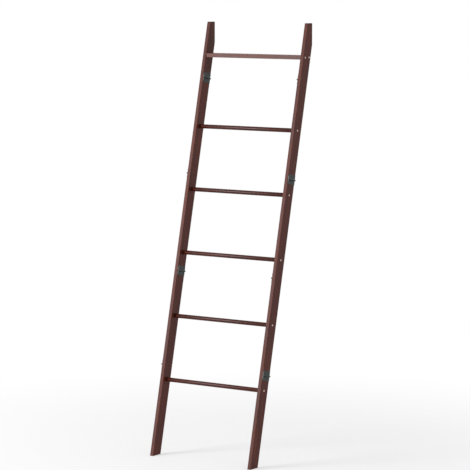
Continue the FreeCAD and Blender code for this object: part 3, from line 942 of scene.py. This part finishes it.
# %% Place the eight hinges
LEAF_EASED = 0.2 * MM
leaf = leaf_tree()
upper = read_tree(leaf, "upper_leaf", {"First": 1, "Own": 2, "Finish": bronze}, eased=LEAF_EASED)
lower = read_tree(leaf, "lower_leaf", {"First": 0, "Own": 3, "Finish": bronze}, eased=LEAF_EASED)
pin = read_tree(pin_tree(), "hinge_pin", {"Finish": pin_steel})
mirrored = Matrix.Scale(-1, 4, (0, 0, 1))
to_middle = Matrix.Translation((0, RAIL_D / 2, 0))
half_round = to_middle @ Matrix.Rotation(math.pi, 4, "Z") @ to_middle.inverted()

for side_name, side in SIDES.items():
    for number, station in enumerate(HINGE_STATIONS, 1):
        face_x, look = hinge_face(side, number)
        seat = leaned @ Matrix.Translation((face_x, 0, station))
        if look < 0:
            seat = seat @ half_round
        low_seat = seat @ mirrored
        pin_seat = seat @ Matrix.Translation((PIN_X, RAIL_D / 2, 0))
        name = f"{side_name}_hinge_{number}"
        place_piece(name + "_top_plate", upper.copy(), name + "_upper_leaf", seat)
        place_piece(name + "_bottom_plate", lower.copy(), name + "_lower_leaf", low_seat)
        place_piece(name + "_headed_pin", pin.copy(), name + "_pin", pin_seat)
print("faces of a leaf:", len(upper.polygons), len(lower.polygons), "of a pin:", len(pin.polygons))

# %% [markdown]
# ## Floor
# The floor is pale and plain and keeps the ladder's shadow. The camera sees it fade to pure white
# away from the ladder, so no horizon shows. That white is only what the camera, mirrors and glass
# see: for all other rays the floor is ordinary matt paint, so the ladder's light stays true.

# %% A pale floor
WHITE, FLOOR_PAINT = (1, 1, 1, 1), (0.94, 0.94, 0.94, 1)
FLOOR_REACH, FLOOR_ROUGHNESS, FLOOR_GLOSS = 40.0, 0.7, 0.1
WHITER_FROM, WHITE_FROM, WHITE_AT_LADDER = 0.5, 2.2, 0.50


def seen_ray(tree):
    """1 for the camera and for rays through glass or off a mirror, 0 for the light itself."""
    rays = add(tree, "ShaderNodeLightPath").outputs
    clear = calc(tree, "MAXIMUM", rays["Is Camera Ray"], rays["Is Transmission Ray"])
    return calc(tree, "MAXIMUM", clear, rays["Is Glossy Ray"])


def floor_paint():
    material, tree, shader = new_material("pale_floor")
    shader.inputs["Base Color"].default_value = FLOOR_PAINT
    shader.inputs["Roughness"].default_value = FLOOR_ROUGHNESS
    shader.inputs["Specular IOR Level"].default_value = FLOOR_GLOSS
    white = add(tree, "ShaderNodeEmission", {"Color": WHITE, "Strength": 1.0})
    away = reach(tree, add(tree, "ShaderNodeTexCoord").outputs["Object"])
    whiter = fade(tree, away, WHITER_FROM, WHITE_FROM, WHITE_AT_LADDER, 1.0)
    share = calc(tree, "MULTIPLY", whiter, seen_ray(tree))
    blend = add(tree, "ShaderNodeMixShader", {0: share, 1: shader.outputs[0], 2: white.outputs[0]})
    tree.links.new(blend.outputs[0], tree.nodes["Material Output"].inputs["Surface"])
    return material


def make_floor():
    corners = [(x * FLOOR_REACH, y * FLOOR_REACH, 0) for x, y in ((-1, -1), (1, -1), (1, 1), (-1, 1))]
    mesh = bpy.data.meshes.new("studio_floor")
    mesh.from_pydata(corners, [], [(0, 1, 2, 3)])
    mesh.materials.append(floor_paint())
    floor = put_in_scene("studio_floor", mesh)


make_floor()
print("the floor is pure white from", WHITE_FROM, "metres away")

# %% [markdown]
# ## Light
# An even sky lights all sides. One tall soft lamp stands in front on the left, just where the
# rails' front faces mirror it to the camera, so those faces show a satin sheen and the outer sides
# stay quieter and redder.

# %% Sky and lamp
SKY_LIGHT = 0.62


def light_sky():
    world = bpy.data.worlds.new("studio")
    bpy.context.scene.world = world
    world.use_nodes = True
    tree = world.node_tree
    background = tree.nodes["Background"]
    background.inputs["Color"].default_value = WHITE
    strength = calc(tree, "MULTIPLY_ADD", seen_ray(tree), 1.0 - SKY_LIGHT, SKY_LIGHT)
    fill(tree, background.inputs["Strength"], strength)


def soft_lamp(name, place, aim, size, power):
    lamp = bpy.data.lights.new(name, "AREA")
    lamp.shape = "RECTANGLE"
    lamp.size, lamp.size_y = size
    lamp.energy = power
    holder = put_in_scene(name, lamp)
    holder.location = place
    holder.rotation_euler = (Vector(aim) - Vector(place)).to_track_quat("-Z", "Y").to_euler()


light_sky()
soft_lamp("tall_soft_lamp", place=(-3.4, -4.9, 2.4), aim=(0, 0, 1.0), size=(2.2, 3.2), power=310)
print("sky", SKY_LIGHT, "and lamps:", len(bpy.data.lights))

# %% [markdown]
# ## Camera
# The picture was taken from far back and well to the right, a little above head height, looking
# slightly down with a long lens. A camera can be placed by eye, but a degree or two soon shows on
# long straight rails. So its place and focal length were solved from the ladder's own corners, in
# pixels of a picture 470 wide.

# %% The camera
PICTURE_WIDTH = 470
FOCAL_PIXELS = 2382.6
SENSOR_WIDTH, SIGHT = 36.0, 200.0
CAMERA_PLACE = (5.5391, FRONT_OF_FEET - 7.9083, 2.0275)
TILT, ROLL, TURN = math.radians(83.6), math.radians(-0.05), math.radians(34.148)


def make_camera():
    camera = bpy.data.cameras.new("photo_camera")
    camera.sensor_width = SENSOR_WIDTH
    camera.lens = FOCAL_PIXELS * SENSOR_WIDTH / PICTURE_WIDTH
    camera.clip_end = SIGHT
    holder = put_in_scene("photo_camera", camera)
    holder.location = CAMERA_PLACE
    holder.rotation_euler = (TILT, ROLL, TURN)
    bpy.context.scene.camera = holder
    print("lens", round(camera.lens, 1), "mm")


make_camera()
bpy.context.scene.view_settings.view_transform = "Standard"
